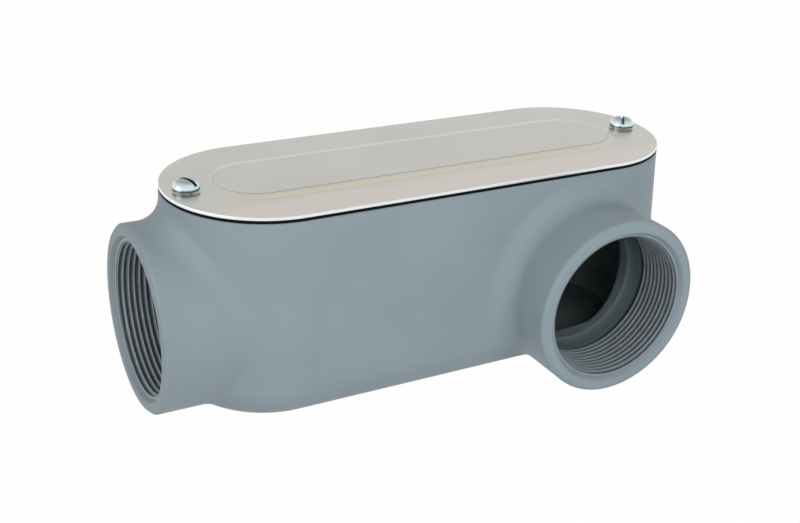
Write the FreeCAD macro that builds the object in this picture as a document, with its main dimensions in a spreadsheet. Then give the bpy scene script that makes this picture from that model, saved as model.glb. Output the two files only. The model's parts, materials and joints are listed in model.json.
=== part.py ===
import FreeCAD, Part
import math
import os
import Sketcher

# Cast-aluminium ell conduit body for trade size 2 conduit, in millimetres and degrees.
# Frame: the flat back of the casting lies on Z = 0 and its obround outline is centred on the origin.
# The end hub opens towards -X, the side hub opens towards -Y, and the cover faces +Z.

V = FreeCAD.Vector
X, Y, Z = V(1, 0, 0), V(0, 1, 0), V(0, 0, 1)
TOLERANCE = 1e-4

SIZES = {
    # Casting, outside
    "body_length": 214.0,        # obround outline at the cover rim
    "body_width": 77.8,
    "rim_height": 82.4,
    "upper_draft": 2.6,          # the walls lean in from the parting plane up
    "lower_draft": 1.1,          # and from the parting plane down
    "parting_radius": 260.0,     # long blend where the two drafts meet
    "back_edge_radius": 18.0,
    # Hubs
    "hub_height": 36.6,          # both hub axes lie on the parting plane
    "hub_diameter": 72.1,
    "hub_edge_chamfer": 1.2,
    "end_hub_projection": 13.1,  # hub face beyond the end of the body
    "side_hub_projection": 28.1, # hub face beyond the side of the body
    "side_hub_inset": 54.4,      # side hub axis from the far end of the body
    "end_blend_radius": 9.0,
    "side_blend_radius": 9.0,
    # Hub bores: 2 - 11 1/2 NPT, held here as a plain bore at the thread's major diameter
    "thread_diameter": 60.2,
    "mouth_diameter": 62.8,
    "mouth_depth": 2.4,
    "stop_depth": 24.0,          # ledge that stops the conduit
    "stop_ledge": 1.2,
    "throat_depth": 28.6,        # inner end of the funnel behind the ledge
    "throat_lip": 0.4,
    "stop_diameter": 52.6,
    "neck_wall": 4.0,
    "neck_depth": 33.0,          # inner end of the end hub's neck, from the hub face
    # Cavity
    "wall": 4.4,
    "floor": 5.0,
    "cavity_draft": 0.5,
    "cavity_edge_chamfer": 8.0,
    # Cover screws, No. 10
    "screw_inset": 8.6,          # screw axis from the end of the body
    "boss_diameter": 11.0,
    "boss_length": 24.0,
    "tapped_depth": 11.8,
    "screw_diameter": 4.8,
    "screw_length": 12.7,
    "head_diameter": 10.3,
    "head_height": 4.0,
    "head_rim": 1.3,
    "head_crown": 6.0,           # diameter of the flat at the top
    "slot_width": 1.4,
    "slot_depth": 2.0,
    "end_slot_angle": 116.0,
    "far_slot_angle": 48.0,
    "thread_clearance": 0.05,    # radial, between a screw and its tapped hole
    "hole_clearance": 0.3,       # radial, between a screw and the cover or the gasket
    # Gasket and cover
    "gasket_thickness": 1.3,
    "gasket_inset": 0.3,
    "gasket_band": 4.9,
    "gasket_land": 8.4,          # from a screw's axis to the end of the gasket's opening
    "cover_thickness": 1.1,
    "panel_rise": 0.6,
    "panel_end_margin": 17.0,    # from the end of the cover to the foot of the panel
    "panel_side_margin": 17.6,
    "panel_end_slope": 3.25,     # run of the panel's sloped edge
    "panel_side_slope": 6.1,
    "bead_diameter": 11.4,       # raised bead round each screw hole
    "bead_rise": 0.3,
    "bead_slope": 60.0,          # from the vertical
}

# Places and sizes that follow from the ones above
DERIVED = {
    "end_hub_reach": "=body_length / 2 + end_hub_projection",
    "side_hub_reach": "=body_width / 2 + side_hub_projection",
    "side_hub_offset": "=body_length / 2 - side_hub_inset",
    "screw_offset": "=body_length / 2 - screw_inset",
    "panel_length": "=body_length - 2 * panel_end_margin",
    "panel_width": "=body_width - 2 * panel_side_margin",
    "panel_top_length": "=panel_length - 2 * panel_end_slope",
    "panel_top_width": "=panel_width - 2 * panel_side_slope",
}

doc = FreeCAD.newDocument("conduit_body")
sheet = doc.addObject("Spreadsheet::Sheet", "Sizes")
for row, (alias, amount) in enumerate({**SIZES, **DERIVED}.items(), start=1):
    sheet.set("A%d" % row, alias)
    sheet.set("B%d" % row, str(amount))
    sheet.setAlias("B%d" % row, alias)
doc.recompute()


def value(expression):
    """Number that an expression over the sheet gives."""
    return float(sheet.evalExpression(expression))


# ---------------------------------------------------------------- sketches

def new_sketch(body, name, role, **offset):
    """Sketch on an origin plane of the body, moved by expressions for x, y and z in its own axes."""
    sketch = body.newObject("Sketcher::SketchObject", name)
    plane = next(item for item in body.Origin.OriginFeatures if item.Role == role)
    sketch.AttachmentSupport = [(plane, "")]
    sketch.MapMode = "FlatFace"
    for axis, expression in offset.items():
        sketch.setExpression("AttachmentOffset.Base.%s" % axis, expression)
    doc.recompute()
    return sketch


def drive(sketch, expression, kind, *targets):
    """Add a dimension to a sketch and bind it to the sheet; angles are given in degrees."""
    amount = math.radians(value(expression)) if kind == "Angle" else value(expression)
    index = sketch.addConstraint(Sketcher.Constraint(kind, *targets, amount))
    sketch.setExpression("Constraints[%d]" % index, expression)


def place_point(sketch, element, point, x, y):
    """Tie a point of a sketch to coordinates given as expressions; "0" ties it to the axis."""
    if x == "0":
        sketch.addConstraint(Sketcher.Constraint("PointOnObject", element, point, -2))
    else:
        drive(sketch, x, "DistanceX", -1, 1, element, point)
    if y == "0":
        sketch.addConstraint(Sketcher.Constraint("PointOnObject", element, point, -1))
    else:
        drive(sketch, y, "DistanceY", -1, 1, element, point)


def draw_circle(sketch, diameter, x="0", y="0"):
    circle = Part.Circle(V(value(x), value(y), 0), Z, value(diameter) / 2)
    element = sketch.addGeometry(circle)
    place_point(sketch, element, 3, x, y)
    drive(sketch, diameter, "Diameter", element)


def draw_obround(sketch, length, width):
    """Obround on the sketch's origin, its length along the horizontal axis."""
    radius = value(width) / 2
    centre = value(length) / 2 - radius
    quarter = math.pi / 2
    right = sketch.addGeometry(Part.ArcOfCircle(Part.Circle(V(centre, 0, 0), Z, radius), -quarter, quarter))
    top = sketch.addGeometry(Part.LineSegment(V(centre, radius, 0), V(-centre, radius, 0)))
    left_circle = Part.Circle(V(-centre, 0, 0), Z, radius)
    left = sketch.addGeometry(Part.ArcOfCircle(left_circle, quarter, 3 * quarter))
    bottom = sketch.addGeometry(Part.LineSegment(V(-centre, -radius, 0), V(centre, -radius, 0)))
    for first, second in ((right, top), (top, left), (left, bottom), (bottom, right)):
        sketch.addConstraint(Sketcher.Constraint("Tangent", first, 2, second, 1))
    sketch.addConstraint(Sketcher.Constraint("Equal", right, left))
    sketch.addConstraint(Sketcher.Constraint("PointOnObject", right, 3, -1))
    sketch.addConstraint(Sketcher.Constraint("Symmetric", left, 3, right, 3, -1, 1))
    drive(sketch, width + " / 2", "Radius", right)
    drive(sketch, length + " - " + width, "DistanceX", left, 3, right, 3)


def draw_polygon(sketch, corners):
    """Closed polygon through corners given as pairs of expressions."""
    points = [V(value(x), value(y), 0) for x, y in corners]
    ends = points[1:] + points[:1]
    lines = [sketch.addGeometry(Part.LineSegment(start, end)) for start, end in zip(points, ends)]
    for first, second in zip(lines, lines[1:] + lines[:1]):
        sketch.addConstraint(Sketcher.Constraint("Coincident", first, 2, second, 1))
    for line, (x, y) in zip(lines, corners):
        place_point(sketch, line, 1, x, y)


def draw_wall_section(sketch):
    """Half section of the casting's outside: flat back, rounded back edge, and two drafted walls."""
    half_width = value("Sizes.body_width / 2")
    rim = value("Sizes.rim_height")
    parting = value("Sizes.hub_height")
    upper = math.radians(value("Sizes.upper_draft"))
    lower = math.radians(value("Sizes.lower_draft"))
    blend = value("Sizes.parting_radius")
    edge = value("Sizes.back_edge_radius")
    # The blend's centre lies at the parting plane, and both walls are tangent to it.
    blend_top = parting + blend * math.sin(upper)
    wall_top_foot = half_width + (rim - blend_top) * math.tan(upper)
    centre_x = wall_top_foot - blend * math.cos(upper)
    lower_start = V(centre_x + blend * math.cos(lower), parting - blend * math.sin(lower), 0)
    # The back edge's centre is one radius above the back and one radius inside the lower wall.
    reach = (lower_start.x - (lower_start.y - edge) * math.tan(lower)) - edge / math.cos(lower)
    edge_end = V(reach + edge * math.cos(lower), edge - edge * math.sin(lower), 0)
    back = sketch.addGeometry(Part.LineSegment(V(0, 0, 0), V(reach, 0, 0)))
    back_edge = sketch.addGeometry(
        Part.ArcOfCircle(Part.Circle(V(reach, edge, 0), Z, edge), -math.pi / 2, -lower))
    lower_wall = sketch.addGeometry(Part.LineSegment(edge_end, lower_start))
    parting_blend = sketch.addGeometry(
        Part.ArcOfCircle(Part.Circle(V(centre_x, parting, 0), Z, blend), -lower, upper))
    upper_wall = sketch.addGeometry(
        Part.LineSegment(V(wall_top_foot, blend_top, 0), V(half_width, rim, 0)))
    top = sketch.addGeometry(Part.LineSegment(V(half_width, rim, 0), V(0, rim, 0)))
    middle = sketch.addGeometry(Part.LineSegment(V(0, rim, 0), V(0, 0, 0)))
    chain = (back, back_edge, lower_wall, parting_blend, upper_wall)
    for first, second in zip(chain, chain[1:]):
        sketch.addConstraint(Sketcher.Constraint("Tangent", first, 2, second, 1))
    for first, second in ((upper_wall, top), (top, middle), (middle, back)):
        sketch.addConstraint(Sketcher.Constraint("Coincident", first, 2, second, 1))
    sketch.addConstraint(Sketcher.Constraint("Coincident", back, 1, -1, 1))
    sketch.addConstraint(Sketcher.Constraint("Horizontal", back))
    sketch.addConstraint(Sketcher.Constraint("Horizontal", top))
    sketch.addConstraint(Sketcher.Constraint("Vertical", middle))
    place_point(sketch, top, 1, "Sizes.body_width / 2", "Sizes.rim_height")
    drive(sketch, "Sizes.hub_height", "DistanceY", -1, 1, parting_blend, 3)
    drive(sketch, "Sizes.back_edge_radius", "Radius", back_edge)
    drive(sketch, "Sizes.parting_radius", "Radius", parting_blend)
    drive(sketch, "90 - Sizes.lower_draft", "Angle", lower_wall)
    drive(sketch, "90 + Sizes.upper_draft", "Angle", upper_wall)


# ---------------------------------------------------------------- features

def new_body(label):
    body = doc.addObject("PartDesign::Body", label)
    body.Label = label
    return body


def add_feature(body, kind, name, profile, expressions, **settings):
    """Sketch-based feature on the body's tip, its sizes bound to the sheet."""
    feature = body.newObject("PartDesign::" + kind, name)
    feature.Profile = profile
    for setting, choice in settings.items():
        setattr(feature, setting, choice)
    for setting, expression in expressions.items():
        feature.setExpression(setting, expression)
    doc.recompute()
    return feature


def mirror(body, name, feature, role):
    copy = body.newObject("PartDesign::Mirrored", name)
    copy.Originals = [feature]
    plane = next(item for item in body.Origin.OriginFeatures if item.Role == role)
    copy.MirrorPlane = (plane, [""])
    body.Tip = copy
    doc.recompute()
    return copy


def dress_edges(body, kind, name, edges, setting, expression):
    """Fillet or chamfer edges of the body's tip."""
    base = body.Tip
    dressing = body.newObject("PartDesign::" + kind, name)
    dressing.Base = (base, edges)
    dressing.setExpression(setting, expression)
    doc.recompute()


def edge_points(edge):
    span = edge.LastParameter - edge.FirstParameter
    return [edge.valueAt(edge.FirstParameter + span * step / 6) for step in range(7)]


def ring_edges(shape, centre, direction, radius, near, far):
    """Edges that run round an axis at one radius, between two distances along it from centre."""
    names = []
    for number, edge in enumerate(shape.Edges, start=1):
        offsets = [point - centre for point in edge_points(edge)]
        along = [offset.dot(direction) for offset in offsets]
        across = [offset - direction * run for offset, run in zip(offsets, along)]
        fits = all(abs(arm.Length - radius) < TOLERANCE for arm in across)
        turns = (across[0] - across[3]).Length > TOLERANCE
        if fits and turns and min(along) > near and max(along) < far:
            names.append("Edge%d" % number)
    return names


def level_edges(shape, height):
    """Edges that lie at one height."""
    level = [all(abs(point.z - height) < TOLERANCE for point in edge_points(edge)) for edge in shape.Edges]
    return ["Edge%d" % number for number, fits in enumerate(level, start=1) if fits]


# ---------------------------------------------------------------- the casting

def add_outer_walls(body):
    """Obround block with drafted walls: a straight run, and a revolved half at each end."""
    section = new_sketch(body, "side_section", "YZ_Plane")
    draw_wall_section(section)
    straight = add_feature(body, "Pad", "side_wall", section,
                           {"Length": "Sizes.body_length - Sizes.body_width"}, SideType="Symmetric")
    mirror(body, "both_side_walls", straight, "XZ_Plane")
    section = new_sketch(body, "end_section", "XZ_Plane", x="(Sizes.body_length - Sizes.body_width) / 2")
    draw_wall_section(section)
    end = add_feature(body, "Revolution", "end_wall", section, {},
                      ReferenceAxis=(section, ["V_Axis"]), Angle=180, Midplane=True)
    mirror(body, "both_end_walls", end, "YZ_Plane")


def add_hubs(body):
    """Round hubs, each blended into the wall and chamfered at its face."""
    end_face = new_sketch(body, "end_hub_face", "YZ_Plane", y="Sizes.hub_height", z="-Sizes.end_hub_reach")
    draw_circle(end_face, "Sizes.hub_diameter")
    add_feature(body, "Pad", "end_hub", end_face,
                {"Length": "Sizes.end_hub_reach - Sizes.body_length / 2 + Sizes.body_width / 2"})
    side_face = new_sketch(body, "side_hub_face", "XZ_Plane", x="Sizes.side_hub_offset",
                           y="Sizes.hub_height", z="Sizes.side_hub_reach")
    draw_circle(side_face, "Sizes.hub_diameter")
    add_feature(body, "Pad", "side_hub", side_face, {"Length": "Sizes.side_hub_reach"}, Reversed=True)
    radius = value("Sizes.hub_diameter / 2")
    height = value("Sizes.hub_height")
    end = V(-value("Sizes.end_hub_reach"), 0, height)
    side = V(value("Sizes.side_hub_offset"), -value("Sizes.side_hub_reach"), height)
    edges = ring_edges(body.Tip.Shape, end, X, radius, -TOLERANCE, TOLERANCE)
    edges += ring_edges(body.Tip.Shape, side, Y, radius, -TOLERANCE, TOLERANCE)
    dress_edges(body, "Chamfer", "hub_face_edges", edges, "Size", "Sizes.hub_edge_chamfer")
    clear = value("Sizes.hub_edge_chamfer") + TOLERANCE
    edges = ring_edges(body.Tip.Shape, end, X, radius, clear, value("Sizes.body_width"))
    dress_edges(body, "Fillet", "end_hub_blend", edges, "Radius", "Sizes.end_blend_radius")
    edges = ring_edges(body.Tip.Shape, side, Y, radius, clear, value("Sizes.side_hub_reach"))
    dress_edges(body, "Fillet", "side_hub_blend", edges, "Radius", "Sizes.side_blend_radius")


def cut_cavity(body):
    """Wiring space, drafted for the core and open at the cover rim."""
    rim = new_sketch(body, "cavity_outline", "XY_Plane", z="Sizes.rim_height")
    draw_obround(rim, "(Sizes.body_length - 2 * Sizes.wall)", "(Sizes.body_width - 2 * Sizes.wall)")
    add_feature(body, "Pocket", "cavity", rim,
                {"Length": "Sizes.rim_height - Sizes.floor", "TaperAngle": "-Sizes.cavity_draft"})
    edges = level_edges(body.Tip.Shape, value("Sizes.floor"))
    dress_edges(body, "Chamfer", "cavity_edge", edges, "Size", "Sizes.cavity_edge_chamfer")


def add_end_neck(body):
    """The end hub's bore runs on into the cavity inside a neck."""
    face = new_sketch(body, "end_neck_face", "YZ_Plane", y="Sizes.hub_height",
                      z="Sizes.neck_depth - Sizes.end_hub_reach")
    draw_circle(face, "(Sizes.thread_diameter + 2 * Sizes.neck_wall)")
    add_feature(body, "Pad", "end_neck", face,
                {"Length": "Sizes.neck_depth - Sizes.end_hub_reach + Sizes.body_length / 2"}, Reversed=True)


def add_screw_bosses(body):
    """Bosses inside the end walls, under the cover screws."""
    for name, place in (("end_boss", "-Sizes.screw_offset"), ("far_boss", "Sizes.screw_offset")):
        top = new_sketch(body, name + "_top", "XY_Plane", z="Sizes.rim_height")
        draw_circle(top, "Sizes.boss_diameter", place)
        add_feature(body, "Pad", name, top, {"Length": "Sizes.boss_length"}, Reversed=True)


def cut_hub_bore(body, name, profile, through):
    """Chamfered mouth, thread bore, ledge that stops the conduit, and a funnel into the cavity."""
    draw_polygon(profile, (
        ("0", "0"),
        ("0", "Sizes.mouth_diameter / 2"),
        ("Sizes.mouth_depth", "Sizes.thread_diameter / 2"),
        ("Sizes.stop_depth", "Sizes.thread_diameter / 2"),
        ("Sizes.stop_depth", "Sizes.thread_diameter / 2 - Sizes.stop_ledge"),
        ("Sizes.throat_depth", "Sizes.stop_diameter / 2 + Sizes.throat_lip"),
        ("Sizes.throat_depth + Sizes.throat_lip", "Sizes.stop_diameter / 2"),
        (through, "Sizes.stop_diameter / 2"),
        (through, "0"),
    ))
    add_feature(body, "Groove", name, profile, {}, ReferenceAxis=(profile, ["H_Axis"]), Angle=360)


def cut_hub_bores(body):
    end = new_sketch(body, "end_bore_profile", "XZ_Plane", x="-Sizes.end_hub_reach", y="Sizes.hub_height")
    cut_hub_bore(body, "end_bore", end, "Sizes.neck_depth + Sizes.wall")
    side = new_sketch(body, "side_bore_profile", "YZ_Plane", x="-Sizes.side_hub_reach",
                      y="Sizes.hub_height", z="Sizes.side_hub_offset")
    cut_hub_bore(body, "side_bore", side, "Sizes.side_hub_reach - Sizes.body_width / 2 + 2 * Sizes.wall")


def cut_tapped_holes(body):
    for name, place in (("end_tapped", "-Sizes.screw_offset"), ("far_tapped", "Sizes.screw_offset")):
        top = new_sketch(body, name + "_top", "XY_Plane", z="Sizes.rim_height")
        draw_circle(top, "(Sizes.screw_diameter + 2 * Sizes.thread_clearance)", place)
        add_feature(body, "Pocket", name + "_hole", top, {"Length": "Sizes.tapped_depth"})


def make_casting():
    body = new_body("body_casting")
    add_outer_walls(body)
    add_hubs(body)
    cut_cavity(body)
    add_end_neck(body)
    add_screw_bosses(body)
    cut_hub_bores(body)
    cut_tapped_holes(body)
    return body


# ---------------------------------------------------------------- gasket and cover

def cut_screw_clearance(body, z, depth):
    """Clearance holes for both cover screws, cut down from height z."""
    for name, place in (("end_hole", "-Sizes.screw_offset"), ("far_hole", "Sizes.screw_offset")):
        top = new_sketch(body, body.Label + "_" + name, "XY_Plane", z=z)
        draw_circle(top, "(Sizes.screw_diameter + 2 * Sizes.hole_clearance)", place)
        add_feature(body, "Pocket", body.Label + "_" + name + "_cut", top, {"Length": depth})


def make_gasket():
    """Die-cut gasket: an even band along the walls, with wide ends under the screws."""
    body = new_body("cover_gasket")
    outline = new_sketch(body, "gasket_outline", "XY_Plane", z="Sizes.rim_height")
    draw_obround(outline, "(Sizes.body_length - 2 * Sizes.gasket_inset)",
                 "(Sizes.body_width - 2 * Sizes.gasket_inset)")
    add_feature(body, "Pad", "gasket_sheet", outline, {"Length": "Sizes.gasket_thickness"})
    top = "Sizes.rim_height + Sizes.gasket_thickness"
    opening = new_sketch(body, "gasket_opening", "XY_Plane", z=top)
    draw_obround(opening, "(2 * Sizes.screw_offset - 2 * Sizes.gasket_land)",
                 "(Sizes.body_width - 2 * Sizes.gasket_inset - 2 * Sizes.gasket_band)")
    add_feature(body, "Pocket", "gasket_window", opening, {"Length": "Sizes.gasket_thickness"})
    cut_screw_clearance(body, top, "Sizes.gasket_thickness")
    return body


def add_panel(body, kind, name, foot):
    """Loft between the panel's foot and its smaller flat top, one panel rise above."""
    low = new_sketch(body, name + "_foot", "XY_Plane", z=foot)
    draw_obround(low, "Sizes.panel_length", "Sizes.panel_width")
    high = new_sketch(body, name + "_top", "XY_Plane", z=foot + " + Sizes.panel_rise")
    draw_obround(high, "Sizes.panel_top_length", "Sizes.panel_top_width")
    add_feature(body, kind, name, low, {}, Sections=[high], Ruled=True)


def make_cover():
    """Blanked sheet cover, pressed up into a shallow panel and a bead round each screw hole."""
    body = new_body("cover_plate")
    seat = "Sizes.rim_height + Sizes.gasket_thickness"
    face = seat + " + Sizes.cover_thickness"
    blank = new_sketch(body, "cover_outline", "XY_Plane", z=seat)
    draw_obround(blank, "Sizes.body_length", "Sizes.body_width")
    add_feature(body, "Pad", "cover_blank", blank, {"Length": "Sizes.cover_thickness"})
    add_panel(body, "AdditiveLoft", "panel", face)
    add_panel(body, "SubtractiveLoft", "panel_underside", seat)
    for name, place in (("end_bead", "-Sizes.screw_offset"), ("far_bead", "Sizes.screw_offset")):
        ring = new_sketch(body, name + "_foot", "XY_Plane", z=face)
        draw_circle(ring, "Sizes.bead_diameter", place)
        add_feature(body, "Pad", name, ring,
                    {"Length": "Sizes.bead_rise", "TaperAngle": "-Sizes.bead_slope"})
    cut_screw_clearance(body, face + " + Sizes.bead_rise", "Sizes.cover_thickness + Sizes.bead_rise")
    return body


# ---------------------------------------------------------------- screws

def make_screw(label, side, slot_angle):
    """Slotted round-headed machine screw, seated on the cover's bead and turned by slot_angle."""
    body = new_body(label)
    profile = new_sketch(body, label + "_profile", "XZ_Plane")
    draw_polygon(profile, (
        ("0", "Sizes.head_height"),
        ("0", "-Sizes.screw_length"),
        ("Sizes.screw_diameter / 2", "-Sizes.screw_length"),
        ("Sizes.screw_diameter / 2", "0"),
        ("Sizes.head_diameter / 2", "0"),
        ("Sizes.head_diameter / 2", "Sizes.head_rim"),
        ("Sizes.head_crown / 2", "Sizes.head_height"),
    ))
    add_feature(body, "Revolution", label + "_turned", profile, {},
                ReferenceAxis=(profile, ["V_Axis"]), Angle=360)
    slot = new_sketch(body, label + "_slot", "XY_Plane", z="Sizes.head_height")
    draw_polygon(slot, (
        ("-Sizes.head_diameter", "-Sizes.slot_width / 2"),
        ("Sizes.head_diameter", "-Sizes.slot_width / 2"),
        ("Sizes.head_diameter", "Sizes.slot_width / 2"),
        ("-Sizes.head_diameter", "Sizes.slot_width / 2"),
    ))
    add_feature(body, "Pocket", label + "_slot_cut", slot, {"Length": "Sizes.slot_depth"})
    seat = value("Sizes.rim_height + Sizes.gasket_thickness + Sizes.cover_thickness + Sizes.bead_rise")
    turn = FreeCAD.Rotation(Z, value(slot_angle))
    body.Placement = FreeCAD.Placement(V(side * value("Sizes.screw_offset"), 0, seat), turn)
    return body


# ---------------------------------------------------------------- build and export

pieces = [
    make_casting(),
    make_gasket(),
    make_cover(),
    make_screw("end_cover_screw", -1, "Sizes.end_slot_angle"),
    make_screw("far_cover_screw", 1, "Sizes.far_slot_angle"),
]
doc.recompute()

for item in doc.Objects:
    if "Invalid" in item.State or "Error" in item.State:
        raise RuntimeError("%s did not compute: %s" % (item.Label, item.State))
for piece in pieces:
    if piece.Shape.isNull() or not piece.Shape.isValid() or len(piece.Shape.Solids) != 1:
        raise RuntimeError("%s is not one valid solid" % piece.Label)

os.makedirs("parts", exist_ok=True)
for piece in pieces:
    piece.Shape.exportStep("parts/%s.step" % piece.Label)
    box = piece.Shape.optimalBoundingBox()
    print("%-16s %10.1f mm3  x %.2f..%.2f  y %.2f..%.2f  z %.2f..%.2f" % (
        piece.Label, piece.Shape.Volume, box.XMin, box.XMax, box.YMin, box.YMax, box.ZMin, box.ZMax))
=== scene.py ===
import json
import math

import bmesh
import bpy
from bpy.props import FloatProperty, FloatVectorProperty, IntProperty, PointerProperty
from bpy.types import Operator, Panel, PropertyGroup
from mathutils import Matrix, Vector
from mathutils.geometry import delaunay_2d_cdt

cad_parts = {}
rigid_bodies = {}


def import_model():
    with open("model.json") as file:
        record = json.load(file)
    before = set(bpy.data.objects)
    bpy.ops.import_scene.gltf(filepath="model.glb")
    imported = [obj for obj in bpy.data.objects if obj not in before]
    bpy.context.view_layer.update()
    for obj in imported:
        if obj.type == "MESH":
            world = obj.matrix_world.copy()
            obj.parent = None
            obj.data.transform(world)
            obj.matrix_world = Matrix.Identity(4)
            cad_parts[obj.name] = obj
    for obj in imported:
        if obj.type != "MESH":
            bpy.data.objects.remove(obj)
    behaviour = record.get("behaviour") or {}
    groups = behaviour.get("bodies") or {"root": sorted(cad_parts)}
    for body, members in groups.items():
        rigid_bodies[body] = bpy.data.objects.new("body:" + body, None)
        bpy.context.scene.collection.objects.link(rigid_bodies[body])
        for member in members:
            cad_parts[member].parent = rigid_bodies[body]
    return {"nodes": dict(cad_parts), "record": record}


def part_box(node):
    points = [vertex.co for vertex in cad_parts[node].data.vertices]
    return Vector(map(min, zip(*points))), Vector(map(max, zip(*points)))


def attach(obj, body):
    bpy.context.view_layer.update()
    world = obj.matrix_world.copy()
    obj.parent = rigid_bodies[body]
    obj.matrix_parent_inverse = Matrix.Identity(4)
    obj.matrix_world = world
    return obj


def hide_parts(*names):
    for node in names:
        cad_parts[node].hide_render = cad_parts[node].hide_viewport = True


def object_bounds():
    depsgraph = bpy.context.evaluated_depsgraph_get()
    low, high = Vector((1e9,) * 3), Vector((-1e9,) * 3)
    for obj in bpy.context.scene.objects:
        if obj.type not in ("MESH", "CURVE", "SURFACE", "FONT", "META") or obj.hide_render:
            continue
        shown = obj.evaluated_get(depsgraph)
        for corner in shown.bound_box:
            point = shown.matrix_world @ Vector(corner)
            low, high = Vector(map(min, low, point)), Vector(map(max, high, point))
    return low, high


bl_info = {
    "name": "Conduit body",
    "version": (1, 0, 0),
    "blender": (4, 5, 0),
    "location": "3D View > Sidebar > Conduit body",
    "description": "Dresses a cast ell conduit body: paint, hub threads, stamped cover and its screws",
    "category": "Object",
}

# The X axis runs along the body, the end hub opens towards -X, the side hub towards -Y, the cover faces +Z.

for leftover in list(bpy.data.objects):
    bpy.data.objects.remove(leftover)
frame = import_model()
CAD_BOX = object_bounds()
MM = 0.001
MOUNTS = {mount["name"]: mount for mount in frame["record"]["mounts"]}
COVER_LOW, COVER_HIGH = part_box("cover_plate")
SCREW_LOW, SCREW_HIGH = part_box("far_cover_screw")
SCREW_OFFSET = (SCREW_LOW.x + SCREW_HIGH.x) / 2
# The border between inside and outside paint runs in the middle of the casting's wall and floor.
WALL_MIDDLE = 2.5 * MM
# Points round a screw hole and round each end of the cover, and how far its sheared edge is rolled over.
HOLE_STEPS = 64
END_STEPS = 96
DIE_ROLL = 0.35 * MM
# Share of a drawn slope from its foot, how much drawn tone and painted highlight it has there,
# and how much painted shade lies in the line at the bend.
SLOPE_STEPS = ((0, 0, 0), (0.08, 0.2, 0.45), (0.16, 1, 0), (0.3, 1, 0), (0.5, 0.9, 0), (0.7, 0.6, 0),
               (0.78, 0.3, 0.3), (0.88, 0, 1), (1, 0, 0))


def linear(code):
    """Scene-linear colour of an sRGB hex code."""
    parts = [int(code[i:i + 2], 16) / 255 for i in (1, 3, 5)]
    return tuple(c / 12.92 if c <= 0.04045 else ((c + 0.055) / 1.055) ** 2.4 for c in parts)


def length(name, default, description):
    """A size that the user may change, in metres."""
    return FloatProperty(name=name, description=description, default=default, unit="LENGTH",
                         subtype="DISTANCE", precision=5)


def colour(name, code, description):
    """A colour that the user may change."""
    return FloatVectorProperty(name=name, description=description, default=linear(code), size=3,
                               subtype="COLOR", min=0, max=1)


# ---------------------------------------------------------------- settings

class CastingSettings(PropertyGroup):
    paint: colour("Enamel", "#87959C", "Baked enamel on the casting")
    # Darker tone inside: partly bare metal and overspray, partly painted shade of the closed wiring space.
    inside: colour("Inside", "#4D5657", "Bare metal and overspray in the wiring space")
    # The dark tone behind the hub threads is painted shade inside the hubs.
    throat_shade: colour("Throat", "#4F5B60", "Thin enamel behind the hub threads")
    # The end thread is painted lighter and the side thread darker, for the light that reaches each bore.
    end_thread: colour("End thread", "#9AA6AC", "Enamel on the thread crests of the end hub")
    side_thread: colour("Side thread", "#7D888E", "Enamel on the thread crests of the side hub")
    grain: length("Cast grain", 1.3 * MM, "Width of the grain in the skin of the casting")


class ThreadSettings(PropertyGroup):
    pitch: length("Pitch", 25.4 / 11.5 * MM, "11 1/2 threads to the inch")
    ridge: length("Ridge height", 1.2 * MM, "Height of the thread above its root")
    start: length("Start", 1.8 * MM, "Depth of the first thread below the hub face")
    span: length("Span", 21.2 * MM, "Length of the threads along the bore")
    lip: FloatProperty(name="Lip", description="Part of the ridge height that the mouth's lip has",
                       default=0.6, min=0, max=1, subtype="FACTOR")
    taper: FloatProperty(name="Taper", description="Fall of the radius along the bore", default=1 / 32)
    around: IntProperty(name="Steps round", description="Faces round one turn", default=180, min=24)
    per_turn: IntProperty(name="Steps across", description="Faces across one thread", default=9, min=4)


class CoverSettings(PropertyGroup):
    metal: colour("Aluminium", "#B7B6AF", "Mill-finish aluminium sheet")
    # Warmer, pinker tone of the sheet towards its -Y edge.
    warm: colour("Warm side", "#C4BDB6", "The same sheet where it has a warmer oxide")
    # The drawn slope's paler tone: partly the stretched metal, mostly painted highlight.
    drawn: colour("Drawn slope", "#C6BFAE", "Metal stretched over the edge of the stamping die")
    # This colour is a painted shade line at each bend of the panel.
    crease_shade: colour("Crease", "#98948A", "Fine rubbed line where a slope meets the flat")
    cut_edge: colour("Cut edge", "#F0F3F5", "Bright sheared edge of the sheet")
    thickness: length("Thickness", 1.1 * MM, "Sheet thickness")
    panel_length: length("Panel length", 180.0 * MM, "Foot of the raised panel, along the cover")
    panel_width: length("Panel width", 42.6 * MM, "Foot of the raised panel, across the cover")
    top_length: length("Top length", 173.5 * MM, "Flat top of the raised panel, along the cover")
    top_width: length("Top width", 30.4 * MM, "Flat top of the raised panel, across the cover")
    rise: length("Rise", 0.6 * MM, "Height of the raised panel")
    bead: length("Bead", 11.4 * MM, "Foot of the raised bead round each screw")
    bead_rise: length("Bead rise", 0.3 * MM, "Height of the bead")
    hole: length("Hole", 5.4 * MM, "Screw hole")


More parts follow.
